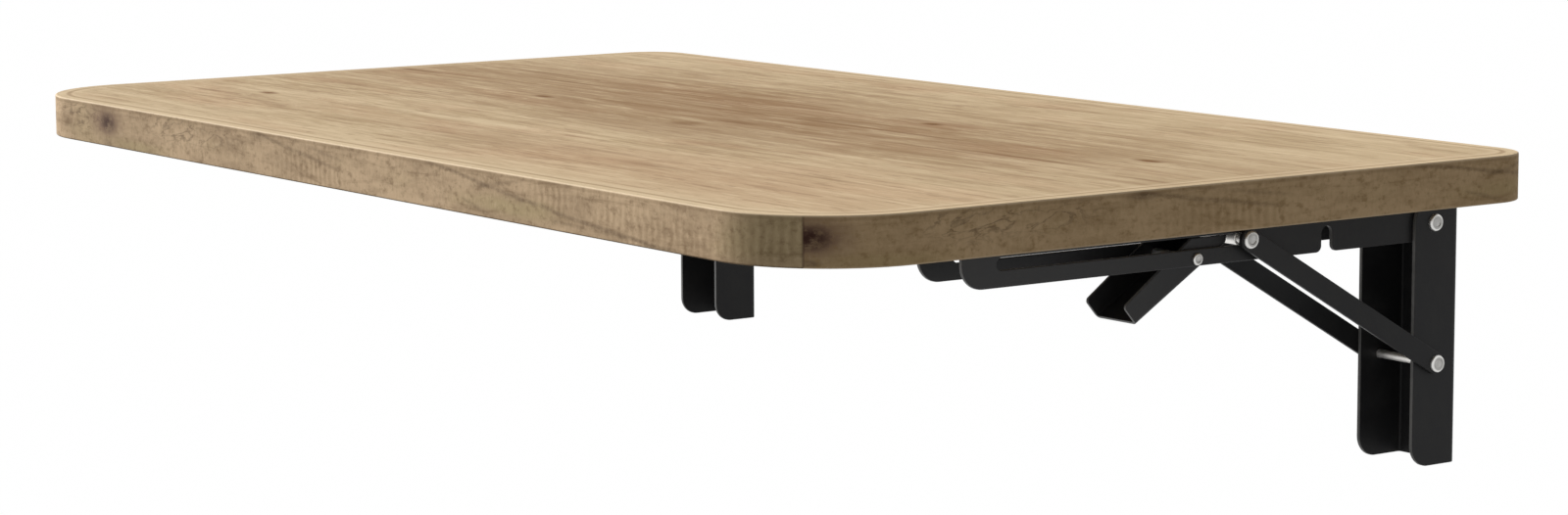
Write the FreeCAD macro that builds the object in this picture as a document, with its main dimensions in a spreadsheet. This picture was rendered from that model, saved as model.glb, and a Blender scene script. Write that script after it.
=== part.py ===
# Wall mounted drop leaf table: a wood board on two folding steel brackets.
# Millimetres. +X along the wall, the wall is the plane y = 0, the board reaches out to -Y, +Z is up.
# The origin is the centre of the four outer wall holes. The leaf is modelled open, as it is used.

import FreeCAD, Part
import os
import re
import Sketcher

SHEET_NAME = "Sizes"
MATCH_TOLERANCE_SHARE = 1e-7
SCREWS_PER_ARM = 4

# Driving dimensions, one spreadsheet cell each
SIZES = {
    # board and its band
    "board_length": 700,
    "board_depth": 406,
    "board_thickness": 21,
    "board_wall_gap": 4.5,
    "front_corner_radius": 56,
    "wall_corner_radius": 24,
    "band_thickness": 1,
    "band_ease_radius": 0.7,
    # wall legs and their screw holes
    "bracket_inset": 72,
    "wall_hole_span": 72,
    "wall_hole_middle": 28,
    "wall_hole_drop": 32,
    "wall_hole_radius": 2.75,
    "leg_width": 36,
    "leg_thickness": 2,
    "leg_eye_radius": 12.2,
    "leg_toe_radius": 10,
    "leg_bend_radius": 3,
    "leg_foot_drop": 23,
    # corner pivot of the leaf, from the wall and from the board's underside
    "pivot_wall_distance": 15.5,
    "pivot_drop": 14.9,
    # arms, with reaches counted from the corner pivot along the arm
    "arm_side_gap": 0.4,
    "arm_thickness": 2,
    "arm_depth": 23.3,
    "arm_bend_radius": 3,
    "arm_heel_reach": 11,
    "arm_toe_reach": 271,
    "arm_toe_radius": 11,
    "slot_height": 5.4,
    "slot_rise": 1.6,
    "slot_toe_margin": 18.5,
    "notch_width": 6.4,
    "notch_lip_radius": 3,
    # struts: the lower axle lies below the corner pivot, the upper one out along the arm
    "strut_rise": 64.6,
    "latch_reach": 114.7,
    "strut_width": 9.8,
    "strut_thickness": 2,
    "strut_side_gap": 0.4,
    # pins and rivets
    "pin_radius": 2,
    "pin_fit": 0.05,
    "rivet_head_radius": 4,
    "rivet_head_height": 1.6,
    "rivet_dome_radius": 1,
    "rivet_dimple_radius": 1.7,
    "rivet_dimple_depth": 0.4,
    "slide_pin_radius": 2.5,
    "sleeve_radius": 3.2,
    "axle_end_gap": 0.2,
    # release levers, sizes from the lever's own pivot
    "lever_reach": 141.3,
    "lever_drop": 5.3,
    "lever_tilt_angle": 31.3,
    "lever_side_gap": 0.3,
    "lever_thickness": 1.5,
    "lever_bend_radius": 2.2,
    "lever_web_drop": 5.8,
    "lever_handle_length": 41,
    "lever_handle_rake": 1.9,
    "lever_handle_lip": 5.1,
    "lever_shoulder_reach": 3.4,
    "lever_shoulder_lip": 8.2,
    "lever_nose_length": 18.2,
    "lever_nose_hook": 2.6,
    "lever_nose_height": 3.5,
    "lever_corner_radius": 2,
    "lever_head_radius": 2.7,
    "lever_head_height": 1.2,
    "lever_dome_radius": 0.7,
    "lever_dimple_radius": 1.1,
    "lever_dimple_depth": 0.3,
    # screws that hold the arms to the board
    "screw_radius": 2,
    "screw_head_radius": 4,
    "screw_head_height": 2.4,
    "screw_dome_radius": 1.2,
    "screw_bite": 14,
    "pilot_spare_depth": 0.2,
    "screw_first_reach": 30,
    "screw_toe_margin": 16,
    # how far a cut runs past the face that it opens
    "cut_overrun": 5,
}

# Places and sizes that follow from the driving dimensions
UNDERSIDE = "(wall_hole_span / 2 + wall_hole_drop)"
PIVOT_Y = "(-pivot_wall_distance)"
PIVOT_Z = f"({UNDERSIDE} - pivot_drop)"
LEG_BOTTOM = "(-wall_hole_span / 2 - leg_foot_drop)"
LEG_TOP = f"({PIVOT_Z} + leg_eye_radius)"
LEG_DEPTH = "(pivot_wall_distance + leg_eye_radius)"
LEG_BORE = "(leg_width - 2 * leg_thickness)"
ARM_WIDTH = f"({LEG_BORE} - 2 * arm_side_gap)"
ARM_BORE = f"({ARM_WIDTH} - 2 * arm_thickness)"
ARM_EDGE = f"({UNDERSIDE} - arm_depth)"
LEVER_WIDTH = f"({ARM_BORE} - 2 * lever_side_gap)"
STRUT_INNER = "(leg_width / 2 + strut_side_gap)"
STRUT_OUTER = f"({STRUT_INNER} + strut_thickness)"
SLOT_Z = f"({PIVOT_Z} + slot_rise)"
STRUT_CLIMB = "(strut_rise + slot_rise)"
STRUT_LENGTH = f"sqrt({STRUT_CLIMB} ^ 2 + latch_reach ^ 2)"
STRUT_ANGLE = f"atan2({STRUT_CLIMB}; -latch_reach)"
RUNNING_RADIUS = "(pin_radius + pin_fit)"
SIDES = {"left": "(bracket_inset - board_length / 2)", "right": "(board_length / 2 - bracket_inset)"}


def along_arm(reach):
    """Y of a point on the arm, counted out from the corner pivot."""
    return f"({PIVOT_Y} - ({reach}))"


doc = FreeCAD.newDocument("drop_leaf_table")
sheet = doc.addObject("Spreadsheet::Sheet", SHEET_NAME)
for row, (alias, value) in enumerate(SIZES.items(), 1):
    sheet.set(f"A{row}", alias)
    sheet.set(f"B{row}", str(value))
    sheet.setAlias(f"B{row}", alias)
doc.recompute()

TOLERANCE = MATCH_TOLERANCE_SHARE * SIZES["board_length"]
pieces = []


def bound(text):
    """The expression with each size read from the sheet."""
    return re.sub(r"[a-z]+(?:_[a-z]+)+", lambda name: f"{SHEET_NAME}.{name.group(0)}", text)


def number(text):
    """The expression's value now."""
    return float(sheet.evalExpression(text))


def pin_point(sketch, geometry, end, spot):
    """Dimension one point of a sketch from its origin."""
    for kind, text in zip(("DistanceX", "DistanceY"), spot):
        place = sketch.addConstraint(Sketcher.Constraint(kind, -1, 1, geometry, end, number(text)))
        sketch.setExpression(f"Constraints[{place}]", bound(text))


def draw_polygon(sketch, corners):
    first = sketch.GeometryCount
    spots = [FreeCAD.Vector(number(across), number(up), 0) for across, up in corners]
    for start, end in zip(spots, spots[1:] + spots[:1]):
        sketch.addGeometry(Part.LineSegment(start, end))
    for place in range(len(corners)):
        following = first + (place + 1) % len(corners)
        sketch.addConstraint(Sketcher.Constraint("Coincident", first + place, 2, following, 1))
    for place, corner in enumerate(corners):
        pin_point(sketch, first + place, 1, corner)


def draw_circle(sketch, across, up, radius):
    centre = FreeCAD.Vector(number(across), number(up), 0)
    circle = sketch.addGeometry(Part.Circle(centre, FreeCAD.Vector(0, 0, 1), number(radius)))
    pin_point(sketch, circle, 3, (across, up))
    place = sketch.addConstraint(Sketcher.Constraint("Radius", circle, number(radius)))
    sketch.setExpression(f"Constraints[{place}]", bound(radius))


def rectangle(left, bottom, right, top):
    return [(left, bottom), (right, bottom), (right, top), (left, top)]


class Piece:
    """One sub-part: a body whose sketches, features and place are bound to the sheet."""

    def __init__(self, label, x="0", y="0", z="0", tilt="0", kept=True):
        self.body = doc.addObject("PartDesign::Body", label)
        self.body.Label = label
        self.body.AllowCompound = True
        upright = FreeCAD.Rotation(FreeCAD.Vector(1, 0, 0), 0)
        self.body.Placement = FreeCAD.Placement(FreeCAD.Vector(), upright)
        places = {"Base.x": x, "Base.y": y, "Base.z": z, "Rotation.Angle": tilt}
        for part_of_place, text in places.items():
            self.body.setExpression(f"Placement.{part_of_place}", bound(text))
        if kept:
            pieces.append(self.body)

    def sketch(self, plane, loops, offset="0"):
        """A sketch on an origin plane; a loop is a list of corners or a circle (across, up, radius)."""
        sketch = self.body.newObject("Sketcher::SketchObject", "Sketch")
        support = [item for item in self.body.Origin.OriginFeatures if item.Role == plane]
        sketch.AttachmentSupport = (support[0], [""])
        sketch.MapMode = "FlatFace"
        sketch.setExpression("AttachmentOffset.Base.z", bound(offset))
        for loop in loops:
            if isinstance(loop, list):
                draw_polygon(sketch, loop)
            else:
                draw_circle(sketch, *loop)
        return sketch

    def feature(self, kind, sketch):
        feature = self.body.newObject(f"PartDesign::{kind}", kind)
        feature.Profile = sketch
        return feature

    def pad(self, sketch, length, side_type="One side"):
        pad = self.feature("Pad", sketch)
        pad.setExpression("Length", bound(length))
        pad.SideType = side_type
        doc.recompute()

    def pocket(self, sketch, length):
        """A cut to both sides of the sketch, which has to take material away."""
        before = self.body.Shape.Volume
        pocket = self.feature("Pocket", sketch)
        pocket.setExpression("Length", bound(length))
        pocket.SideType = "Symmetric"
        doc.recompute()
        if not self.body.Shape.Volume < before:
            raise RuntimeError(f"{self.body.Label}: a pocket cut nothing")

    def revolve(self, sketch):
        """A full turn about the sketch's horizontal axis."""
        turned = self.feature("Revolution", sketch)
        turned.ReferenceAxis = (sketch, ["H_Axis"])
        turned.Angle = 360
        doc.recompute()

    def fillet(self, radius, names):
        if not names:
            raise RuntimeError(f"{self.body.Label}: no edge to round")
        base = self.body.Tip
        fillet = self.body.newObject("PartDesign::Fillet", "Fillet")
        fillet.Base = (base, names)
        fillet.setExpression("Radius", bound(radius))
        doc.recompute()

    def edges(self, along, spots):
        """Names of the straight edges along one axis that pass through the given spots."""
        across = [place for place in range(3) if place != "xyz".index(along)]
        wanted = [[number(text) for text in spot] for spot in spots]
        names = []
        for count, edge in enumerate(self.body.Tip.Shape.Edges, 1):
            if edge.Curve.TypeId != "Part::GeomLine":
                continue
            ends = [[vertex.Point[place] for place in across] for vertex in edge.Vertexes]
            for spot in wanted:
                misses = [abs(end[k] - spot[k]) for end in ends for k in range(2)]
                if max(misses) < TOLERANCE:
                    names.append(f"Edge{count}")
        return names

    def level_edges(self, heights):
        """Names of the edges that lie flat at the given heights."""
        wanted = [number(text) for text in heights]
        names = []
        for count, edge in enumerate(self.body.Tip.Shape.Edges, 1):
            ends = [vertex.Point.z for vertex in edge.Vertexes]
            if any(max(abs(end - height) for end in ends) < TOLERANCE for height in wanted):
                names.append(f"Edge{count}")
        return names

    def rims(self, radius, axis, height):
        """Names of the round edges of one radius whose centres lie at a height, either side of zero."""
        names = []
        for count, edge in enumerate(self.body.Tip.Shape.Edges, 1):
            if edge.Curve.TypeId != "Part::GeomCircle":
                continue
            same_radius = abs(edge.Curve.Radius - number(radius)) < TOLERANCE
            same_height = abs(abs(edge.Curve.Center["xyz".index(axis)]) - abs(number(height))) < TOLERANCE
            if same_radius and same_height:
                names.append(f"Edge{count}")
        return names


def both_signs(text):
    return (f"({text})", f"-({text})")


# The board's outline, drawn in by the band where the core is wanted
def board_outline(inset):
    side = f"(board_length / 2 - {inset})"
    wall_edge = f"(-board_wall_gap - {inset})"
    front_edge = f"(-board_wall_gap - board_depth + {inset})"
    return rectangle(f"-{side}", front_edge, side, wall_edge)


def round_board_corners(piece, inset):
    left_front, right_front, right_wall, left_wall = board_outline(inset)
    piece.fillet(f"front_corner_radius - {inset}", piece.edges("z", [left_front, right_front]))
    piece.fillet(f"wall_corner_radius - {inset}", piece.edges("z", [left_wall, right_wall]))


def screw_spots(x):
    pitch = f"(arm_toe_reach - screw_toe_margin - screw_first_reach) / {SCREWS_PER_ARM - 1}"
    return [(x, along_arm(f"screw_first_reach + {place} * {pitch}")) for place in range(SCREWS_PER_ARM)]


# Board core, with pilot holes for the arm screws
def make_table_top():
    piece = Piece("table_top")
    piece.pad(piece.sketch("XY_Plane", [board_outline("band_thickness")], UNDERSIDE), "board_thickness")
    round_board_corners(piece, "band_thickness")
    spots = [spot for x in SIDES.values() for spot in screw_spots(x)]
    pilots = [(x, y, "screw_radius + pin_fit") for x, y in spots]
    piece.pocket(piece.sketch("XY_Plane", pilots, UNDERSIDE), "2 * (screw_bite + pilot_spare_depth)")


# Band glued round the core's edge: the board's full outline, eased, less the core's outline
def make_edge_band():
    blank = Piece("band_blank", kept=False)
    blank.pad(blank.sketch("XY_Plane", [board_outline("0")], UNDERSIDE), "board_thickness")
    round_board_corners(blank, "0")
    blank.fillet("band_ease_radius", blank.level_edges([UNDERSIDE, f"{UNDERSIDE} + board_thickness"]))
    void = Piece("band_void", kept=False)
    void.pad(void.sketch("XY_Plane", [board_outline("band_thickness")], UNDERSIDE), "board_thickness")
    round_board_corners(void, "band_thickness")
    band = doc.addObject("Part::Cut", "edge_band")
    band.Base = blank.body
    band.Tool = void.body
    pieces.append(band)


# Wall leg: a channel bent from sheet, its web on the wall and its top rounded about the corner pivot
def make_wall_leg(side, x):
    piece = Piece(f"wall_leg_{side}", x)
    front = f"-{LEG_DEPTH}"
    outline = rectangle(front, LEG_BOTTOM, "0", LEG_TOP)
    piece.pad(piece.sketch("YZ_Plane", [outline]), "leg_width", "Symmetric")
    piece.fillet("leg_eye_radius", piece.edges("x", [(front, LEG_TOP)]))
    piece.fillet("leg_toe_radius", piece.edges("x", [(front, LEG_BOTTOM)]))
    inside = rectangle(f"{front} - cut_overrun", f"{LEG_BOTTOM} - cut_overrun",
                       "-leg_thickness", f"{LEG_TOP} + cut_overrun")
    piece.pocket(piece.sketch("YZ_Plane", [inside]), LEG_BORE)
    piece.fillet("leg_bend_radius", piece.edges("z", [(half, "0") for half in both_signs("leg_width / 2")]))
    corners = [(half, "-leg_thickness") for half in both_signs(f"{LEG_BORE} / 2")]
    piece.fillet("leg_bend_radius - leg_thickness", piece.edges("z", corners))
    pivots = [(PIVOT_Y, PIVOT_Z, RUNNING_RADIUS), (PIVOT_Y, f"{PIVOT_Z} - strut_rise", RUNNING_RADIUS)]
    piece.pocket(piece.sketch("YZ_Plane", pivots), "leg_width + cut_overrun")
    heights = ("wall_hole_span / 2", "wall_hole_span / 2 - wall_hole_middle", "-wall_hole_span / 2")
    holes = [("0", height, "wall_hole_radius") for height in heights]
    piece.pocket(piece.sketch("XZ_Plane", holes), "4 * leg_thickness")


# Arm: a channel bent from sheet, its web under the board, with the slot and notch of the two axles
def make_arm(side, x):
    piece = Piece(f"arm_{side}", x)
    heel = along_arm("-arm_heel_reach")
    toe = along_arm("arm_toe_reach")
    piece.pad(piece.sketch("YZ_Plane", [rectangle(toe, ARM_EDGE, heel, UNDERSIDE)]), ARM_WIDTH, "Symmetric")
    piece.fillet("arm_depth - pivot_drop", piece.edges("x", [(heel, ARM_EDGE)]))
    piece.fillet("arm_toe_radius", piece.edges("x", [(toe, ARM_EDGE)]))
    inside = rectangle(f"{toe} - cut_overrun", f"{ARM_EDGE} - cut_overrun",
                       f"{heel} + cut_overrun", f"{UNDERSIDE} - arm_thickness")
    piece.pocket(piece.sketch("YZ_Plane", [inside]), ARM_BORE)
    ridges = [(half, UNDERSIDE) for half in both_signs(f"{ARM_WIDTH} / 2")]
    piece.fillet("arm_bend_radius", piece.edges("y", ridges))
    corners = [(half, f"{UNDERSIDE} - arm_thickness") for half in both_signs(f"{ARM_BORE} / 2")]
    piece.fillet("arm_bend_radius - arm_thickness", piece.edges("y", corners))
    cut_width = f"{ARM_WIDTH} + cut_overrun"
    slot_rear = along_arm("latch_reach")
    slot_front = along_arm("arm_toe_reach - slot_toe_margin - slot_height / 2")
    half_slot = "slot_height / 2"
    slot = rectangle(slot_front, f"{SLOT_Z} - {half_slot}", slot_rear, f"{SLOT_Z} + {half_slot}")
    piece.pocket(piece.sketch("YZ_Plane", [slot]), cut_width)
    slot_ends = [(slot_front, SLOT_Z, half_slot), (slot_rear, SLOT_Z, half_slot)]
    piece.pocket(piece.sketch("YZ_Plane", slot_ends), cut_width)
    notch_y = along_arm("strut_rise")
    notch_front = f"{notch_y} - notch_width / 2"
    notch_rear = f"{notch_y} + notch_width / 2"
    notch = rectangle(notch_front, f"{ARM_EDGE} - cut_overrun", notch_rear, PIVOT_Z)
    piece.pocket(piece.sketch("YZ_Plane", [notch]), cut_width)
    piece.pocket(piece.sketch("YZ_Plane", [(notch_y, PIVOT_Z, "notch_width / 2")]), cut_width)
    piece.fillet("notch_lip_radius", piece.edges("x", [(notch_front, ARM_EDGE), (notch_rear, ARM_EDGE)]))
    lever_spot = (along_arm("lever_reach"), f"{PIVOT_Z} - lever_drop", RUNNING_RADIUS)
    piece.pocket(piece.sketch("YZ_Plane", [(PIVOT_Y, PIVOT_Z, RUNNING_RADIUS), lever_spot]), cut_width)
    holes = [(across, y, "screw_radius + pin_fit") for across, y in screw_spots("0")]
    piece.pocket(piece.sketch("XY_Plane", holes, UNDERSIDE), "4 * arm_thickness")


def rivet_section(start, grip, shank, head, height, dimple, dimple_depth, sign):
    """Half section of a rivet from start out to one head, on the sketch's horizontal axis."""
    tip = f"({grip} + {height})"
    points = [(start, "0"), (start, shank), (grip, shank), (grip, head), (tip, head), (tip, dimple),
              (f"{tip} - {dimple_depth}", dimple), (f"{tip} - {dimple_depth}", "0")]
    return [(f"{sign}({across})", up) for across, up in points]


# Rivet with a domed, dimpled head at each end, lying along X
def make_rivet(label, x, y, z, grip, family):
    head, height = f"{family}_head_radius", f"{family}_head_height"
    dimple, depth = f"{family}_dimple_radius", f"{family}_dimple_depth"
    piece = Piece(label, x, y, z)
    right = rivet_section("0", grip, "pin_radius", head, height, dimple, depth, "")
    left = rivet_section("0", grip, "pin_radius", head, height, dimple, depth, "-")
    piece.revolve(piece.sketch("XY_Plane", [right[1:] + left[:1:-1]]))
    piece.fillet(f"{family}_dome_radius", piece.rims(head, "x", f"{grip} + {height}"))


# Strut link: a flat bar with round ends, from the lower axle at its own origin to the upper one
def make_strut_link(label, x, face):
    piece = Piece(label, x, PIVOT_Y, f"{PIVOT_Z} - strut_rise", STRUT_ANGLE)
    half = "strut_width / 2"
    bar = rectangle("0", f"-{half}", STRUT_LENGTH, half)
    piece.pad(piece.sketch("YZ_Plane", [bar], face), "strut_thickness")
    for end in ("0", STRUT_LENGTH):
        piece.pad(piece.sketch("YZ_Plane", [(end, "0", half)], face), "strut_thickness")
    holes = [(end, "0", RUNNING_RADIUS) for end in ("0", STRUT_LENGTH)]
    piece.pocket(piece.sketch("YZ_Plane", holes, face), "4 * strut_thickness")


# Upper strut rivets: one short headed stub in each link, ending just outside the slide pins
def make_strut_rivets(side, x):
    piece = Piece(f"strut_rivets_{side}", x, along_arm("latch_reach"), SLOT_Z)
    start = f"({STRUT_INNER} - axle_end_gap)"
    sections = [rivet_section(start, STRUT_OUTER, "pin_radius", "rivet_head_radius", "rivet_head_height",
                              "rivet_dimple_radius", "rivet_dimple_depth", sign) for sign in ("", "-")]
    piece.revolve(piece.sketch("XY_Plane", sections))
    crown = f"{STRUT_OUTER} + rivet_head_height"
    piece.fillet("rivet_dome_radius", piece.rims("rivet_head_radius", "x", crown))


# Slide pins: the stretches of the upper axle that run in the arm's two slots
def make_slide_pins(side, x):
    piece = Piece(f"slide_pins_{side}", x, along_arm("latch_reach"), SLOT_Z)
    inner = f"({ARM_BORE} / 2 + axle_end_gap)"
    outer = f"({STRUT_INNER} - 2 * axle_end_gap)"
    for start in (inner, f"-{outer}"):
        piece.pad(piece.sketch("YZ_Plane", [("0", "0", "slide_pin_radius")], start), f"{outer} - {inner}")


# Sleeve of the upper axle between the arm's walls, which the lever's nose blocks
def make_axle_sleeve(side, x):
    piece = Piece(f"axle_sleeve_{side}", x, along_arm("latch_reach"), SLOT_Z)
    piece.pad(piece.sketch("YZ_Plane", [("0", "0", "sleeve_radius")]), ARM_BORE, "Symmetric")
    bore = "slide_pin_radius + pin_fit"
    piece.pocket(piece.sketch("YZ_Plane", [("0", "0", bore)]), f"{ARM_BORE} + cut_overrun")


# Release lever: a channel that hangs out of the arm, pressed up to draw its nose off the axle
def make_release_lever(side, x):
    piece = Piece(f"release_lever_{side}", x, along_arm("lever_reach"), f"{PIVOT_Z} - lever_drop",
                  "lever_tilt_angle")
    handle_end = "-lever_handle_length"
    lip_end = "-lever_handle_length - lever_handle_rake"
    nose_tip = "lever_nose_length + lever_nose_hook"
    outline = [(handle_end, "-lever_web_drop"), ("lever_nose_length", "-lever_web_drop"),
               (nose_tip, "lever_nose_height - lever_web_drop"),
               ("lever_shoulder_reach", "lever_shoulder_lip"), (lip_end, "lever_handle_lip")]
    piece.pad(piece.sketch("YZ_Plane", [outline]), LEVER_WIDTH, "Symmetric")
    piece.fillet("lever_corner_radius", piece.edges("x", outline[3:]))
    inside = rectangle(f"{lip_end} - cut_overrun", "lever_thickness - lever_web_drop",
                       f"{nose_tip} + cut_overrun", "lever_shoulder_lip + cut_overrun")
    bore = f"({LEVER_WIDTH} - 2 * lever_thickness)"
    piece.pocket(piece.sketch("YZ_Plane", [inside]), bore)
    ridges = [(half, "-lever_web_drop") for half in both_signs(f"{LEVER_WIDTH} / 2")]
    piece.fillet("lever_bend_radius", piece.edges("y", ridges))
    corners = [(half, "lever_thickness - lever_web_drop") for half in both_signs(f"{bore} / 2")]
    piece.fillet("lever_bend_radius - lever_thickness", piece.edges("y", corners))
    piece.pocket(piece.sketch("YZ_Plane", [("0", "0", RUNNING_RADIUS)]), f"{LEVER_WIDTH} + cut_overrun")


# Pan head screws, driven up through the arm's web into the board
def make_board_screws(side, x):
    piece = Piece(f"board_screws_{side}", x)
    seat = f"({UNDERSIDE} - arm_thickness)"
    crown = f"({seat} - screw_head_height)"
    spots = screw_spots("0")
    heads = [(across, y, "screw_head_radius") for across, y in spots]
    piece.pad(piece.sketch("XY_Plane", heads, crown), "screw_head_height")
    piece.fillet("screw_dome_radius", piece.rims("screw_head_radius", "z", crown))
    shanks = [(across, y, "screw_radius") for across, y in spots]
    piece.pad(piece.sketch("XY_Plane", shanks, seat), "arm_thickness + screw_bite")


def make_bracket(side, x):
    axle_z = f"({PIVOT_Z} - strut_rise)"
    make_wall_leg(side, x)
    make_rivet(f"corner_pin_{side}", x, PIVOT_Y, PIVOT_Z, "leg_width / 2", "rivet")
    make_rivet(f"strut_axle_{side}", x, PIVOT_Y, axle_z, STRUT_OUTER, "rivet")
    make_arm(side, x)
    make_board_screws(side, x)
    make_axle_sleeve(side, x)
    make_rivet(f"lever_pin_{side}", x, along_arm("lever_reach"), f"{PIVOT_Z} - lever_drop",
               f"{ARM_WIDTH} / 2", "lever")
    make_release_lever(side, x)
    faces = {"left": (f"-{STRUT_OUTER}", STRUT_INNER), "right": (STRUT_INNER, f"-{STRUT_OUTER}")}
    for name, face in zip(("outer", "inner"), faces[side]):
        make_strut_link(f"strut_link_{name}_{side}", x, face)
    make_strut_rivets(side, x)
    make_slide_pins(side, x)


make_table_top()
make_edge_band()
for side_name, side_x in SIDES.items():
    make_bracket(side_name, side_x)
doc.recompute()

# Nothing is written unless every object is sound
for item in doc.Objects:
    if "Invalid" in item.State or "Error" in item.State:
        raise RuntimeError(f"{item.Label}: {item.State}")
for body in pieces:
    if body.Shape.isNull() or not body.Shape.isValid():
        raise RuntimeError(f"{body.Label}: shape is not valid")

os.makedirs("parts", exist_ok=True)
for body in pieces:
    body.Shape.exportStep(f"parts/{body.Label}.step")
    print(f"{body.Label}: {len(body.Shape.Solids)} solids, {body.Shape.Volume:.1f} mm3")
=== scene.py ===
import math

import bpy
from mathutils import Matrix, Vector


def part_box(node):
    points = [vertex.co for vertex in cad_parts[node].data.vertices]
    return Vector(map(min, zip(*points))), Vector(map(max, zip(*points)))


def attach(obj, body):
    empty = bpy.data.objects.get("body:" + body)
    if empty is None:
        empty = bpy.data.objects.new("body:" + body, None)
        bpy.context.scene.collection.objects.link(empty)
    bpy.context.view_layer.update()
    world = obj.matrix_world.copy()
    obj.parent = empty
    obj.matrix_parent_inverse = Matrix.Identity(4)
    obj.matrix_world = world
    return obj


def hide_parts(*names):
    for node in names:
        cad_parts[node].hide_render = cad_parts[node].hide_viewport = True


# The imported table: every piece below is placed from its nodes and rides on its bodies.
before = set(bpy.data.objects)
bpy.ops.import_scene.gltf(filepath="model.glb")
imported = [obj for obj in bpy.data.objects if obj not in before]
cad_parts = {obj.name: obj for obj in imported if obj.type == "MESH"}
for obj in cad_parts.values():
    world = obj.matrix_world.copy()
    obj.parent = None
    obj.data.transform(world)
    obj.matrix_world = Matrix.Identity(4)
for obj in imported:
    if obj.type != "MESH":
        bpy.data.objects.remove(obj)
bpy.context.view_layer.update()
SIDES = ("left", "right")
MM = 0.001

# Wall legs: one channel of 2 mm steel sheet for each bracket, bent round a web that lies on the wall.
# The sheet is stamped, so its arrises are slightly broken, and it is powder coated satin black.
# A highlight is painted in a paler grey on the edges that the shears left.
LEG_ARRIS = 0.35 * MM
SHARP_ANGLE = math.radians(35)
FLAT_ANGLE = math.radians(0.2)
MERGE_DISTANCE = 0.002 * MM
COAT_ROUGHNESS = 0.44
COAT_ROUGHNESS_SPREAD = 0.12
COAT_PEEL_DEPTH = 0.03 * MM
COAT_SPECULAR = 0.135
SPOT_RAGGEDNESS = 1.5
SPOT_RIM = 1.2
SPOT_CORE = 0.2
SHEEN = 0.36
SHEEN_START_Y = -0.05
SHEEN_FULL_Y = -0.27
CUT_EDGE = "cut_edge"
BEND_DEPTH = 6 * MM
ARRIS_STEPS = 2
FLAT_FACE_WEIGHT = 100
FACING = 0.5


def paint(red, green, blue):
    """A colour from 0 to 255 as read off a picture, in the linear values that a shader takes."""
    shares = [level / 255 for level in (red, green, blue)]
    linear = [
        share / 12.92 if share < 0.04045 else ((share + 0.055) / 1.055) ** 2.4
        for share in shares
    ]
    return (*linear, 1)


COAT_BLACK = paint(45, 45, 46)
COAT_DUSTY_BLACK = paint(51, 51, 51)
COAT_EDGE_HIGHLIGHT = paint(128, 128, 127)


class Value:
    """An output socket of a finish; arithmetic on it adds Math nodes to that finish."""

    def __init__(self, finish, socket):
        self.finish = finish
        self.socket = socket

    def math(self, operation, left, right):
        return self.finish.node("ShaderNodeMath", {"operation": operation}, {0: left, 1: right})

    def __add__(self, other):
        return self.math("ADD", self, other)

    def __radd__(self, other):
        return self.math("ADD", other, self)

    def __sub__(self, other):
        return self.math("SUBTRACT", self, other)

    def __rsub__(self, other):
        return self.math("SUBTRACT", other, self)

    def __mul__(self, other):
        return self.math("MULTIPLY", self, other)

    def __rmul__(self, other):
        return self.math("MULTIPLY", other, self)

    def __truediv__(self, other):
        return self.math("DIVIDE", self, other)

    def __pow__(self, other):
        return self.math("POWER", self, other)

    def at_least(self, other):
        return self.math("MAXIMUM", self, other)

    def at_most(self, other):
        return self.math("MINIMUM", self, other)


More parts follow.
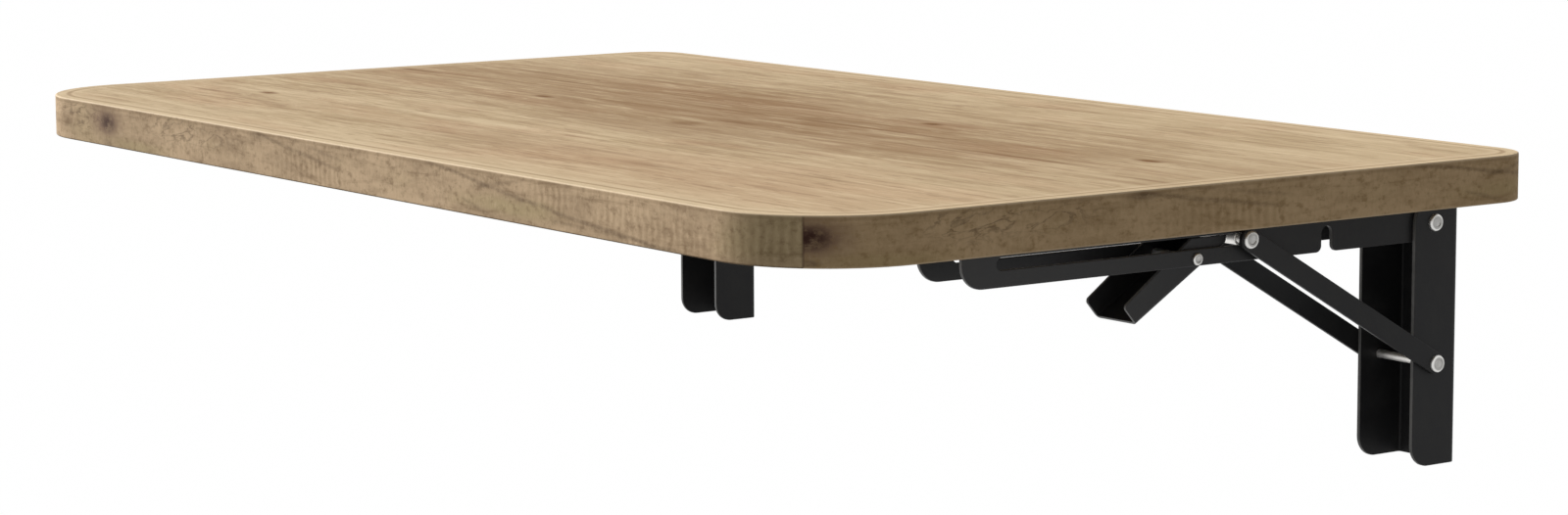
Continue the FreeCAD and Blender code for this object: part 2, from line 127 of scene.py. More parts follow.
class Finish:
    """A material with one Principled shader, whose nodes are added by name and by arithmetic."""

    def __init__(self, name, **constants):
        self.material = bpy.data.materials.new(name)
        self.material.use_nodes = True
        self.tree = self.material.node_tree
        self.shader = self.tree.nodes["Principled BSDF"]
        for socket, value in constants.items():
            self.shader.inputs[socket.replace("_", " ")].default_value = value
        self.place = self.node("ShaderNodeTexCoord", {}, {}, "Object")

    def node(self, kind, settings, inputs, output=0):
        """A new node, its settings made first, and one of its outputs."""
        made = self.tree.nodes.new(kind)
        for name, value in settings.items():
            setattr(made, name, value)
        for socket, value in inputs.items():
            self.feed(made.inputs[socket], value)
        return Value(self, made.outputs[output])

    def feed(self, socket, value):
        if isinstance(value, Value):
            self.tree.links.new(value.socket, socket)
        else:
            socket.default_value = value

    def shade(self, socket, value):
        self.feed(self.shader.inputs[socket], value)

    def axes(self):
        return [self.node("ShaderNodeSeparateXYZ", {}, {0: self.place}, axis) for axis in range(3)]

    def stretch(self, scale, shift=(0, 0, 0)):
        """Object coordinates, scaled along each axis."""
        inputs = {"Vector": self.place, "Scale": scale, "Location": shift}
        return self.node("ShaderNodeMapping", {}, inputs)

    def noise(self, scale, detail=3.0, roughness=0.5, distortion=0.0, shift=(0, 0, 0)):
        """Noise from 0 to 1 with about this many spots to the metre along each axis."""
        inputs = {"Vector": self.stretch(scale, shift), "Scale": 1.0, "Detail": detail,
                  "Roughness": roughness, "Distortion": distortion}
        return self.node("ShaderNodeTexNoise", {}, inputs)

    def ease(self, value, low, high):
        """0 below low, 1 above high and a smooth rise between; high may be the lower one."""
        inputs = {0: value, 1: low, 2: high, 3: 0.0, 4: 1.0}
        return self.node("ShaderNodeMapRange", {"interpolation_type": "SMOOTHSTEP"}, inputs)

    def far(self, value, place):
        """How far a value lies from a place, either side of it."""
        return self.node("ShaderNodeMath", {"operation": "ABSOLUTE"}, {0: value - place})

    def spot(self, place, halves, ragged):
        """1 in the middle of an oval mark, 0 outside its ragged rim; an axis of half size 0 is left out."""
        scale = tuple(1 / half if half else 0 for half in halves)
        shift = tuple(-middle * share for middle, share in zip(place, scale))
        inputs = {0: self.stretch(scale, shift)}
        reach = self.node("ShaderNodeVectorMath", {"operation": "LENGTH"}, inputs, "Value")
        return self.ease(reach + (ragged - 0.5) * SPOT_RAGGEDNESS, SPOT_RIM, SPOT_CORE)

    def mark(self, name):
        """The value that a piece's own attribute holds."""
        return self.node("ShaderNodeAttribute", {"attribute_name": name}, {}, "Fac")

    def mix(self, share, first, second):
        return self.node("ShaderNodeMix", {"data_type": "RGBA"}, {0: share, 6: first, 7: second}, 2)

    def overlay(self, colour, *layers):
        """The colour with each layer, a share and a shade, laid over it in turn."""
        for share, shade in layers:
            colour = self.mix(share, colour, shade)
        return colour

    def bump(self, height, depth):
        self.shade("Normal", self.node("ShaderNodeBump", {}, {"Height": height, "Distance": depth}))


def black_coat():
    coat = Finish("satin_black_powder_coat", Specular_IOR_Level=COAT_SPECULAR,
                  Coat_Roughness=COAT_ROUGHNESS)
    mottle = coat.noise((90, 90, 90), detail=4, roughness=0.6)
    peel = coat.noise((900, 900, 900), detail=2)
    grit = coat.noise((3200, 3200, 3200), detail=2)
    # Painted highlight: the cut edges are laid over in a paler grey, stronger in patches.
    painted_edge_highlight = coat.mark(CUT_EDGE) * (0.70 + 0.30 * coat.ease(mottle, 0.35, 0.65))
    dusty = coat.ease(mottle, 0.35, 0.75)
    colour = coat.overlay(COAT_BLACK, (dusty, COAT_DUSTY_BLACK), (painted_edge_highlight, COAT_EDGE_HIGHLIGHT))
    coat.shade("Base Color", colour)
    coat.shade("Roughness", COAT_ROUGHNESS + (mottle - 0.5) * COAT_ROUGHNESS_SPREAD)
    coat.shade("Coat Weight", coat.ease(coat.axes()[1], SHEEN_START_Y, SHEEN_FULL_Y) * SHEEN)
    coat.bump(peel + grit * 0.3, COAT_PEEL_DEPTH)
    return coat.material


BLACK_COAT = black_coat()


def deselect():
    bpy.ops.object.select_all(action="DESELECT")


def take_up(piece):
    """Makes the piece the only selected one."""
    deselect()
    piece.select_set(True)
    bpy.context.view_layer.objects.active = piece


def break_arrises(piece, width):
    """Rounds the sharp edges and shades the rest smooth."""
    take_up(piece)
    bevel = piece.modifiers.new("arris", "BEVEL")
    bevel.width = width
    bevel.segments = ARRIS_STEPS
    bevel.limit_method = "ANGLE"
    bevel.angle_limit = SHARP_ANGLE
    bevel.use_clamp_overlap = False
    bpy.ops.object.modifier_apply(modifier=bevel.name)
    bpy.ops.object.shade_smooth_by_angle(angle=SHARP_ANGLE)
    level = piece.modifiers.new("flat_faces", "WEIGHTED_NORMAL")
    level.weight = FLAT_FACE_WEIGHT
    level.keep_sharp = True
    bpy.ops.object.modifier_apply(modifier=level.name)


def dressed_copy(node, name, arris):
    """A merged copy of a CAD node with broken arrises, which stands for the node and rides with it."""
    piece = bpy.data.objects.new(name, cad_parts[node].data.copy())
    bpy.context.scene.collection.objects.link(piece)
    piece.data.materials.clear()
    take_up(piece)
    bpy.ops.object.mode_set(mode="EDIT")
    bpy.ops.mesh.select_all(action="SELECT")
    bpy.ops.mesh.remove_doubles(threshold=MERGE_DISTANCE)
    bpy.ops.mesh.dissolve_limited(angle_limit=FLAT_ANGLE)
    bpy.ops.object.mode_set(mode="OBJECT")
    break_arrises(piece, arris)
    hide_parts(node)
    return piece


def mark_cut_edges(channel):
    """Stores 1 on the faces across the sheet's thickness and 0 on the sheet's own faces and bends."""
    faces = channel.data.polygons
    web = max((face for face in faces if abs(face.normal.x) < FACING), key=lambda face: face.area)
    out = web.normal.copy()
    middle = web.center.copy()
    along = out.cross(Vector((1, 0, 0)))
    layer = channel.data.attributes.new(CUT_EDGE, "FLOAT", "CORNER")
    for face in faces:
        on_wall = abs(face.normal.x) >= FACING
        at_end = abs(face.normal.dot(along)) > FACING
        past_bend = abs((face.center - middle).dot(out)) > BEND_DEPTH
        for loop in face.loop_indices:
            layer.data[loop].value = 1.0 if not on_wall and (at_end or past_bend) else 0.0


def finish_piece(piece, material, body):
    piece.data.materials.append(material)
    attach(piece, body)


for side in SIDES:
    leg = dressed_copy(f"wall_leg_{side}", f"wall_leg_{side}_coated", LEG_ARRIS)
    mark_cut_edges(leg)
    finish_piece(leg, BLACK_COAT, "wall")

# Arms: longer channels of the same sheet, bent round a web that is screwed under the board.
# A long slot guides the upper strut axle, and a notch clears the lower one when the leaf hangs.
ARM_ARRIS = 0.35 * MM

for side in SIDES:
    arm = dressed_copy(f"arm_{side}", f"arm_{side}_coated", ARM_ARRIS)
    mark_cut_edges(arm)
    finish_piece(arm, BLACK_COAT, "leaf")

# Struts: two flat bars with round ends for each bracket, blanked from sheet and coated like the legs.
# They run outside the leg's walls, on one axle below and one above.
STRUT_ARRIS = 0.30 * MM

for side in SIDES:
    for place in ("outer", "inner"):
        bar = f"strut_link_{place}_{side}"
        link = dressed_copy(bar, f"{bar}_coated", STRUT_ARRIS)
        finish_piece(link, BLACK_COAT, f"strut_{side}")

# Release levers: short channels that hang out of the arms, to be pressed up by the fingers.
# Their noses block the upper strut axle while the leaf is open.
LEVER_ARRIS = 0.30 * MM

for side in SIDES:
    lever = dressed_copy(f"release_lever_{side}", f"release_lever_{side}_coated", LEVER_ARRIS)
    mark_cut_edges(lever)
    finish_piece(lever, BLACK_COAT, f"lever_{side}")

# Rivets and axles: bright zinc plated steel rod, headed cold at both ends once the bracket is together.
# A head is a low button with a shallow round dimple from the heading tool, lighter on its rim and darker in
# a ring inside it.
RIVET_SIDES = 48
RIVET_ARC_STEPS = 5
RIVET_PIN_RADIUS = 2.0 * MM
HEAD_DOME_SHARE = 0.62
DIMPLE_SHARE = 0.46
DIMPLE_DEPTH_SHARE = 0.16
ROD_PROUD = 0.3 * MM
ROD_FADE = 0.2 * MM
ZINC_LIGHT = paint(178, 177, 174)
ZINC_DULL = paint(150, 149, 146)
ZINC_RIM = paint(232, 231, 228)
ZINC_RING = paint(118, 117, 115)
ROD_BRIGHT = paint(250, 248, 244)
ZINC_ROUGHNESS = 0.40
ZINC_ROUGHNESS_SPREAD = 0.25
ROD_EXTRA_ROUGHNESS = 0.12
ZINC_GRAIN_DEPTH = 0.012 * MM
OFF_AXIS = "off_axis"
# Shares of a head's radius
RING_PLACE = 0.60
RING_HALF_WIDTH = 0.16
RING_HALF_CORE = 0.04
RIM_START = 0.70
RIM_FULL = 0.84


def middle_of(node):
    low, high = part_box(node)
    return (low + high) / 2


def half_sizes(node):
    low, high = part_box(node)
    return (high - low) / 2


def bright_zinc(name, rod_half_length):
    """Plated steel: dull heads and, within this half length of a bracket's middle, a bright drawn rod."""
    zinc = Finish(name, Metallic=1.0)
    cloud = zinc.noise((260, 260, 260), detail=4, roughness=0.65)
    draw_lines = zinc.noise((120, 2600, 2600), detail=2)
    off_centre = zinc.far(zinc.far(zinc.axes()[0], 0.0), middle_of("wall_leg_right").x)
    rod = zinc.ease(off_centre, rod_half_length + ROD_FADE, rod_half_length)
    off_axis = zinc.mark(OFF_AXIS)
    ring = zinc.ease(zinc.far(off_axis, RING_PLACE), RING_HALF_WIDTH, RING_HALF_CORE)
    rim = zinc.ease(off_axis, RIM_START, RIM_FULL)
    colour = zinc.overlay(
        ZINC_LIGHT,
        (zinc.ease(cloud, 0.3, 0.75), ZINC_DULL),
        (ring * 0.28, ZINC_RING),
        (rim * 0.80, ZINC_RIM),
        (rod, ROD_BRIGHT),
    )
    zinc.shade("Base Color", colour)
    uneven = (cloud - 0.5) * ZINC_ROUGHNESS_SPREAD
    zinc.shade("Roughness", ZINC_ROUGHNESS + uneven + rod * ROD_EXTRA_ROUGHNESS)
    zinc.bump(draw_lines + cloud * 0.4, ZINC_GRAIN_DEPTH)
    return zinc.material


BRIGHT_ZINC = bright_zinc("bright_zinc", half_sizes("wall_leg_right").x + ROD_PROUD)


def mark_off_axis(piece, centre):
    """Stores on every point how far it lies off the rod's axis, as a share of the widest point."""
    widths = [(point.co - centre).yz.length for point in piece.data.vertices]
    widest = max(widths)
    layer = piece.data.attributes.new(OFF_AXIS, "FLOAT", "POINT")
    for mark, width in zip(layer.data, widths):
        mark.value = width / widest


def turned_piece(name, centre, stations):
    """A round piece along X: a disc at the first station (along, radius), drawn out to each next one."""
    deselect()
    along, radius = stations[0]
    spot = centre + Vector((along, 0, 0))
    bpy.ops.mesh.primitive_circle_add(vertices=RIVET_SIDES, radius=radius, fill_type="NGON", location=spot,
                                      rotation=(0, math.pi / 2, 0))
    piece = bpy.context.object
    piece.name = name
    bpy.ops.object.transform_apply(location=True, rotation=True, scale=True)
    bpy.ops.object.mode_set(mode="EDIT")
    bpy.ops.mesh.select_all(action="SELECT")
    for next_along, next_radius in stations[1:]:
        step = (next_along - along, 0, 0)
        bpy.ops.mesh.extrude_region_move(TRANSFORM_OT_translate={"value": step})
        share = next_radius / radius
        spot = centre + Vector((next_along, 0, 0))
        bpy.ops.transform.resize(value=(1, share, share), center_override=spot)
        along, radius = next_along, next_radius
    bpy.ops.mesh.select_all(action="SELECT")
    bpy.ops.mesh.normals_make_consistent(inside=False)
    bpy.ops.object.mode_set(mode="OBJECT")
    bpy.ops.object.shade_smooth_by_angle(angle=SHARP_ANGLE)
    mark_off_axis(piece, centre)
    return piece


def head_stations(grip, tip, head_radius):
    """A rivet head's outline from its seat to the floor of its dimple."""
    dome = HEAD_DOME_SHARE * (tip - grip)
    dimple = DIMPLE_SHARE * head_radius
    depth = DIMPLE_DEPTH_SHARE * (tip - grip)
    outline = [(grip, head_radius)]
    for step in range(RIVET_ARC_STEPS + 1):
        turn = 0.5 * math.pi * step / RIVET_ARC_STEPS
        outline.append((tip - dome + dome * math.sin(turn), head_radius - dome + dome * math.cos(turn)))
    outline.append((tip, dimple + depth))
    outline.append((tip - depth, dimple))
    return outline


def strut_seats(side):
    """How far a strut link's inner and outer faces lie from the middle of its bracket."""
    middle = middle_of(f"wall_leg_{side}").x
    return sorted(abs(corner.x - middle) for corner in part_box(f"strut_link_outer_{side}"))


def headed_rivet(node, grip):
    """A rod with a head at each end, at the CAD node's place, with its seats at grip either side."""
    half = half_sizes(node)
    right = head_stations(grip, half.x, half.z)
    left = [(-along, radius) for along, radius in reversed(right)]
    stations = left + [(-grip, RIVET_PIN_RADIUS), (grip, RIVET_PIN_RADIUS)] + right
    piece = turned_piece(f"{node}_plated", middle_of(node), stations)
    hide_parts(node)
    return piece


LEVER_ZINC = bright_zinc("bright_zinc_lever_pin", half_sizes("arm_left").x - ROD_FADE)
for side in SIDES:
    corner_pin = headed_rivet(f"corner_pin_{side}", half_sizes(f"wall_leg_{side}").x)
    finish_piece(corner_pin, BRIGHT_ZINC, "wall")
    strut_axle = headed_rivet(f"strut_axle_{side}", max(strut_seats(side)))
    finish_piece(strut_axle, BRIGHT_ZINC, "wall")
    lever_pin = headed_rivet(f"lever_pin_{side}", half_sizes(f"arm_{side}").x)
    finish_piece(lever_pin, LEVER_ZINC, "leaf")

# Upper strut axle: a headed stub in each strut link, a pin in each slot, a sleeve between the arm's walls.
# All are cut from the same bright rod, and the sleeve is what the lever's nose blocks.
SLEEVE_CHAMFER = 0.3 * MM
STUB_PROUD = 0.2 * MM

for side in SIDES:
    rivets = f"strut_rivets_{side}"
    half = half_sizes(rivets)
    inner_seat, outer_seat = strut_seats(side)
    stations = [(inner_seat - STUB_PROUD, RIVET_PIN_RADIUS), (outer_seat, RIVET_PIN_RADIUS)]
    stations += head_stations(outer_seat, half.x, half.z)
    stubs = []
    for sign in (1, -1):
        turned = [(sign * along, radius) for along, radius in stations]
        stubs.append(turned_piece(f"strut_stub_{side}", middle_of(rivets), turned))
    take_up(stubs[0])
    stubs[1].select_set(True)
    bpy.ops.object.join()
    stubs[0].name = f"{rivets}_plated"
    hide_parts(rivets)
    finish_piece(stubs[0], BRIGHT_ZINC, f"strut_{side}")

    sleeve = f"axle_sleeve_{side}"
    half = half_sizes(sleeve)
    waist = half.x - SLEEVE_CHAMFER
    mouth = half.z - SLEEVE_CHAMFER
    stations = [(-half.x, mouth), (-waist, half.z), (waist, half.z), (half.x, mouth)]
    tube = turned_piece(f"{sleeve}_plated", middle_of(sleeve), stations)
    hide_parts(sleeve)
    finish_piece(tube, BRIGHT_ZINC, "leaf")

    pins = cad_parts[f"slide_pins_{side}"]
    pins.data.materials.clear()
    pins.data.materials.append(BRIGHT_ZINC)

# Board: a wood panel on the two arms, faced above and below with a matt oak print, its grain along the wall.
# A broad brown flame runs past the middle between paler stretches, with small dark flecks along the grain.
# A fine line follows the outline where the face was trimmed.
FRONT_RADIUS = 56 * MM
WALL_RADIUS = 24 * MM
BOARD_SEAM = 0.12 * MM
TRIM_INSET = 7.0 * MM
TRIM_WIDTH = 2.0 * MM
TRIM_CORE = 0.4 * MM
RIM_WIDTH = 15 * MM
RIM_CORE = 9 * MM
OAK_LIGHT = paint(216, 194, 158)
OAK_PALE = paint(194, 170, 135)
OAK_TAN = paint(174, 149, 113)
OAK_ROSE = paint(187, 154, 120)
OAK_BROWN = paint(134, 102, 69)
OAK_FLAME = paint(128, 94, 55)
OAK_FLECK = paint(108, 70, 24)
OAK_PORE = paint(98, 66, 37)
OAK_ROUGHNESS = 0.66
OAK_ROUGHNESS_SPREAD = 0.16
OAK_SPECULAR = 0.07
OAK_GRAIN_DEPTH = 0.05 * MM
FLAME_Y = -0.174
FLAME_HALF_WIDTH = 0.135
FLAME_HEART_X = -0.03
FLAME_HEART_REACH = 0.30
FLAME_TILT = 0.035
FLAME_WAVER = 0.04
FLAME_SWAY = 0.03
FAINT_FLAME_Y = -0.345
FAINT_FLAME_HALF_WIDTH = 0.045
FAINT_FLAME_X = 0.15
FAINT_FLAME_REACH = 0.26
FAINT_FLAME_CORE = 0.10
# Pale stretches: where they start and where they are full
PALE_FRONT_Y = (-0.35, -0.40)
PALE_END_X = (0.20, 0.32)
PALE_BACK_Y = (-0.13, -0.07)
ROSY_PLACE = (0.20, -0.345, 0)
ROSY_HALVES = (0.22, 0.070, 0)
# Flecks: place along and across the board, half length, half width and depth of colour
FLECKS = (
    (-0.148, -0.212, 0.011, 0.0040, 1.00), (0.087, -0.141, 0.009, 0.0050, 1.00),
    (0.270, -0.164, 0.011, 0.0042, 1.00), (-0.255, -0.314, 0.010, 0.0042, 0.88),
    (0.010, -0.231, 0.012, 0.0110, 0.50), (0.022, -0.210, 0.022, 0.0050, 0.50),
    (0.020, -0.250, 0.140, 0.0320, 0.15), (-0.020, -0.335, 0.110, 0.0250, 0.10),
    (0.045, -0.172, 0.030, 0.0080, 0.36), (0.112, -0.176, 0.060, 0.0030, 0.52),
    (0.225, -0.199, 0.065, 0.0028, 0.70), (0.180, -0.206, 0.050, 0.0024, 0.46),
    (-0.265, -0.138, 0.045, 0.0028, 0.64), (-0.200, -0.157, 0.060, 0.0026, 0.46),
    (-0.325, -0.184, 0.045, 0.0034, 0.74), (0.325, -0.212, 0.030, 0.0030, 0.50),
    (0.150, -0.345, 0.040, 0.0060, 0.34), (0.090, -0.330, 0.050, 0.0030, 0.38),
    (0.230, -0.315, 0.050, 0.0026, 0.36), (-0.290, -0.330, 0.020, 0.0034, 0.44),
    (-0.040, -0.060, 0.040, 0.0040, 0.34), (-0.210, -0.072, 0.050, 0.0030, 0.28),
)


def outline_inset(finish, x, y):
    """How far a point of the face lies inside the board's rounded outline."""
    low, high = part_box("edge_band")
    middle = (low.y + high.y) / 2
    front = finish.node("ShaderNodeMath", {"operation": "LESS_THAN"}, {0: y, 1: middle})
    radius = WALL_RADIUS + front * (FRONT_RADIUS - WALL_RADIUS)
    across = finish.far(x, 0.0) - high.x + radius
    along = finish.far(y, middle) - (high.y - middle) + radius
    past_x = across.at_least(0.0)
    past_y = along.at_least(0.0)
    reach = (past_x * past_x + past_y * past_y) ** 0.5
    return radius - reach - across.at_least(along).at_most(0.0)


def flame_shares(oak, x, y, streaks):
    """How strongly the broad brown flame and the faint one near the front edge show."""
    sway = oak.noise((1.2, 4, 4), detail=2)
    waver = oak.noise((5, 18, 18), detail=3)
    drift = y + x * FLAME_TILT + (waver - 0.5) * FLAME_WAVER + (sway - 0.5) * FLAME_SWAY
    heart = oak.ease(oak.far(x, FLAME_HEART_X), FLAME_HEART_REACH, 0.0)
    broad = oak.ease(oak.far(drift, FLAME_Y), FLAME_HALF_WIDTH, 0.0) * (0.74 + 0.46 * heart)
    broad = broad * (0.70 + 0.30 * oak.ease(streaks, 0.40, 0.62))
    faint = oak.ease(oak.far(drift, FAINT_FLAME_Y), FAINT_FLAME_HALF_WIDTH, 0.0)
    return broad, faint * oak.ease(oak.far(x, FAINT_FLAME_X), FAINT_FLAME_REACH, FAINT_FLAME_CORE)


def oak_face():
    oak = Finish("oak_print_face", Specular_IOR_Level=OAK_SPECULAR)
    x, y = oak.axes()[:2]
    clouds = oak.noise((7, 20, 20), detail=4, roughness=0.6, shift=(4, 1, 2))
    warmth = oak.noise((9, 24, 24), detail=3, shift=(7, 3, 6))
    streaks = oak.noise((6, 80, 80), detail=5, roughness=0.66, distortion=0.5, shift=(3, 7, 1))
    lines = oak.noise((13, 180, 180), detail=5, roughness=0.66, distortion=0.5, shift=(9, 2, 5))
    wisps = oak.noise((26, 230, 230), detail=5, roughness=0.66, distortion=0.3, shift=(2, 5, 8))
    fibres = oak.noise((60, 700, 700), detail=3, roughness=0.6)
    pores = oak.noise((70, 560, 560), detail=2, shift=(1, 2, 3))
    flame, faint_flame = flame_shares(oak, x, y, streaks)
    colour = oak.overlay(
        OAK_PALE,
        (oak.ease(clouds * 0.6 + streaks * 0.4, 0.38, 0.66), OAK_TAN),
        (oak.ease(warmth, 0.48, 0.68) * 0.55, OAK_ROSE),
        (oak.ease(streaks, 0.48, 0.34) * 0.38, OAK_LIGHT),
        (oak.ease(streaks, 0.54, 0.72) * 0.36, OAK_BROWN),
        (flame * 0.78 + faint_flame * 0.28, OAK_FLAME),
        (oak.ease(lines, 0.47, 0.38) * (0.38 - 0.22 * flame), OAK_LIGHT),
        (oak.ease(lines, 0.54, 0.64) * 0.40, OAK_BROWN),
        (oak.ease(y, *PALE_FRONT_Y) * 0.34, OAK_LIGHT),
        (oak.ease(x, *PALE_END_X) * 0.26, OAK_LIGHT),
        (oak.ease(y, *PALE_BACK_Y) * 0.10, OAK_LIGHT),
        (oak.spot(ROSY_PLACE, ROSY_HALVES, clouds) * 0.42, OAK_ROSE),
        (oak.ease(wisps, 0.45, 0.38) * (0.42 - 0.20 * flame), OAK_LIGHT),
        (oak.ease(wisps, 0.55, 0.63) * 0.38, OAK_BROWN),
    )
    for along, across, half_length, half_width, depth in FLECKS:
        fleck = oak.spot((along, across, 0), (half_length, half_width, 0), lines)
        colour = oak.mix(fleck * depth, colour, OAK_FLECK)
    inset = outline_inset(oak, x, y)
    colour = oak.overlay(
        colour,
        (oak.ease(fibres, 0.52, 0.72) * 0.16, OAK_PORE),
        (oak.ease(pores, 0.64, 0.74) * 0.34, OAK_PORE),
        (oak.ease(inset, RIM_WIDTH, RIM_CORE) * 0.50, OAK_LIGHT),
        (oak.ease(oak.far(inset, TRIM_INSET), TRIM_WIDTH, TRIM_CORE) * 0.55, OAK_BROWN),
    )
    oak.shade("Base Color", colour)
    oak.shade("Roughness", OAK_ROUGHNESS + (fibres - 0.5) * OAK_ROUGHNESS_SPREAD)
    oak.bump(fibres * 0.5 - oak.ease(pores, 0.62, 0.78) + lines * 0.4, OAK_GRAIN_DEPTH)
    return oak.material


board = dressed_copy("table_top", "table_top_faced", BOARD_SEAM)
finish_piece(board, oak_face(), "leaf")

# Edge band: a thin strip glued round the board and trimmed flush, printed like sawn wood.
# Fine upright saw marks come and go, long cracks cross them at a slant, and a highlight is painted along its
# trimmed top arris.
# The print starts again at a butt joint on the near front corner, so one knot shows twice.
BAND_TAN = paint(209, 181, 146)
BAND_GREY = paint(176, 150, 119)
BAND_BROWN = paint(126, 100, 70)
BAND_OLIVE = paint(178, 160, 118)
BAND_SHADED = paint(190, 156, 101)
BAND_KNOT = paint(64, 40, 32)
BAND_KNOT_HALO = paint(128, 98, 84)
BAND_CRACK = paint(82, 62, 42)
BAND_ARRIS = paint(222, 199, 164)
BAND_ROUGHNESS = 0.64
BAND_ROUGHNESS_SPREAD = 0.14
BAND_SPECULAR = 0.10
BAND_GRAIN_DEPTH = 0.05 * MM
BAND_SEAM = 0.05 * MM
BAND_JOINT = 0.630
BAND_REPEAT = 0.585
JOINT_HALF_WIDTH = 0.9 * MM
JOINT_HALF_CORE = 0.2 * MM
TOP_LINE_DROP = 1.5 * MM
TOP_LINE_HALF_WIDTH = 1.0 * MM
TOP_LINE_HALF_CORE = 0.2 * MM
ARRIS_START = 0.9 * MM
ARRIS_FULL = 0.3 * MM
KNOT_DEEPER = 0.18
SAW_MARKS_PER_METRE = 215
SAW_MARK_WAVER = 1.2
STROKE_HALF_WIDTH = 0.045
STROKE_HALF_CORE = 0.005
CRACK_SWAY = 4 * MM
CRACK_FADE = 4 * MM
CRACK_TAPER = 20 * MM
CRACK_CORE_SHARE = 0.1
ALONG = "along"
# Patches: place along the print and up the band, half length and half height
SAWN_PATCHES = (
    (0.252, 0.0760, 0.045, 0.011), (0.555, 0.0750, 0.070, 0.011),
    (0.465, 0.0820, 0.020, 0.008), (0.612, 0.0780, 0.035, 0.013),
)
OLIVE_AND_CORNER_SHADE_PATCHES = (
    (0.435, 0.0745, 0.055, 0.006), (0.080, 0.0700, 0.030, 0.005),
    # The last olive patch is painted shade where the band turns the near front corner.
    (0.615, 0.0785, 0.034, 0.016),
)
SCRIBBLED_PATCHES = (
    (0.122, 0.0830, 0.040, 0.009), (0.165, 0.0820, 0.030, 0.008),
    (0.020, 0.0820, 0.030, 0.009),
)
# Knots: place along the print and up the band, half sizes, depth of colour and colour
KNOTS = (
    (0.046, 0.0800, 0.0230, 0.0105, 0.74, BAND_KNOT_HALO),
    (0.048, 0.0800, 0.0105, 0.0062, 0.88, BAND_KNOT),
    (0.047, 0.0700, 0.0060, 0.0020, 0.40, BAND_KNOT),
    (0.209, 0.0866, 0.0110, 0.0020, 0.50, BAND_CRACK),
)
# Cracks: start and end along the print, start and end heights, curve, half width and depth of colour
CRACKS = (
    (0.203, 0.290, 0.0885, 0.0760, 1.00, 0.0017, 0.34),
    (0.235, 0.300, 0.0885, 0.0800, 1.00, 0.0015, 0.26),
    (0.364, 0.560, 0.0885, 0.0688, 1.25, 0.0015, 0.42),
    (0.408, 0.452, 0.0815, 0.0880, 1.00, 0.0013, 0.28),
    (0.395, 0.425, 0.0745, 0.0688, 1.00, 0.0014, 0.28),
    (0.470, 0.570, 0.0725, 0.0690, 1.00, 0.0013, 0.24),
)


def mark_along(piece):
    """Stores on each face corner how far along the band it lies, from the left end of the straight front."""
    low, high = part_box("edge_band")
    front_x = high.x - FRONT_RADIUS
    front_y = low.y + FRONT_RADIUS
    wall_x = high.x - WALL_RADIUS
    wall_y = high.y - WALL_RADIUS
    quarter = math.pi / 2
    end_start = 2 * front_x + FRONT_RADIUS * quarter
    end_stop = end_start + wall_y - front_y
    back_start = end_stop + WALL_RADIUS * quarter
    girth = 2 * (back_start + wall_x - front_x)

    def reach(spot):
        x = abs(spot.x)
        if spot.y < front_y:
            turn = math.atan2(max(x - front_x, 0), front_y - spot.y)
            right = front_x + min(x, front_x) + FRONT_RADIUS * turn
        elif spot.y <= wall_y:
            right = end_start + spot.y - front_y
        else:
            turn = math.atan2(spot.y - wall_y, max(x - wall_x, 0))
            right = end_stop + WALL_RADIUS * turn + max(wall_x - x, 0)
        return right if spot.x >= 0 else 2 * front_x - right

    layer = piece.data.attributes.new(ALONG, "FLOAT", "CORNER")
    for face in piece.data.polygons:
        places = [reach(piece.data.vertices[vertex].co) for vertex in face.vertices]
        top = max(places)
        for loop, place in zip(face.loop_indices, places):
            layer.data[loop].value = place + girth if top - place > girth / 2 else place


def crack_line(band, along, up, ragged, crack):
    """Up to its depth of colour on a slanting, slightly crooked line, 0 a half width away from it."""
    start, stop, first, last, curve, half_width, depth = crack
    left = (stop - along) / (stop - start)
    height = left.at_least(0.0) ** curve * (first - last) + last
    miss = band.far(up + (ragged - 0.5) * CRACK_SWAY, height)
    opening = band.ease(along, start - CRACK_FADE, start + CRACK_FADE)
    closing = band.ease(along, stop + CRACK_FADE, stop - CRACK_TAPER)
    return band.ease(miss, half_width, CRACK_CORE_SHARE * half_width) * opening * closing * depth


def patch_share(band, patches, ragged):
    """1 inside any of the patches, 0 outside all of them."""
    total = 0.0
    for place, height, half_length, half_height in patches:
        total = band.spot((place, height, 0), (half_length, half_height, 0), ragged).at_least(total)
    return total


def band_marks(band, colour, along, up, second, cloud, mottle, broken):
    """The colour with the print's scribbles, cracks and knots laid over it; second is 1 on its repeat."""
    scribble = band.noise((60, 150, 1), detail=3, distortion=0.9, shift=(3, 4, 0))
    strokes = band.ease(band.far(scribble, 0.5), STROKE_HALF_WIDTH, STROKE_HALF_CORE)
    strokes = strokes * patch_share(band, SCRIBBLED_PATCHES, cloud)
    colour = band.mix(strokes * broken * 0.50, colour, BAND_CRACK)
    for crack in CRACKS:
        colour = band.mix(crack_line(band, along, up, cloud, crack) * broken, colour, BAND_CRACK)
    for place, height, half_length, half_height, depth, shade in KNOTS:
        knot = band.spot((place, height, 0), (half_length, half_height, 0), mottle)
        colour = band.mix(knot * broken * (depth + second * KNOT_DEEPER), colour, shade)
    return colour


def band_arrises(band, colour, up, second):
    """The colour with the band's trimmed edges: a painted highlight on the top arris and on the lower arris
    of the repeat, a dark line along the lower arris of the front.
    """
    low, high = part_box("edge_band")
    top_line = band.far(up, high.z - TOP_LINE_DROP)
    top_arris_highlight = band.ease(up, high.z - ARRIS_START, high.z - ARRIS_FULL)
    low_arris = band.ease(up, low.z + ARRIS_START, low.z + ARRIS_FULL)
    return band.overlay(
        colour,
        (band.ease(top_line, TOP_LINE_HALF_WIDTH, TOP_LINE_HALF_CORE) * 0.26, BAND_BROWN),
        # Painted highlight along the top arris, and along the lower arris of the repeat.
        (top_arris_highlight * 0.78 + low_arris * second * 0.60, BAND_ARRIS),
        (low_arris * (1 - second) * 0.60, BAND_CRACK),
    )


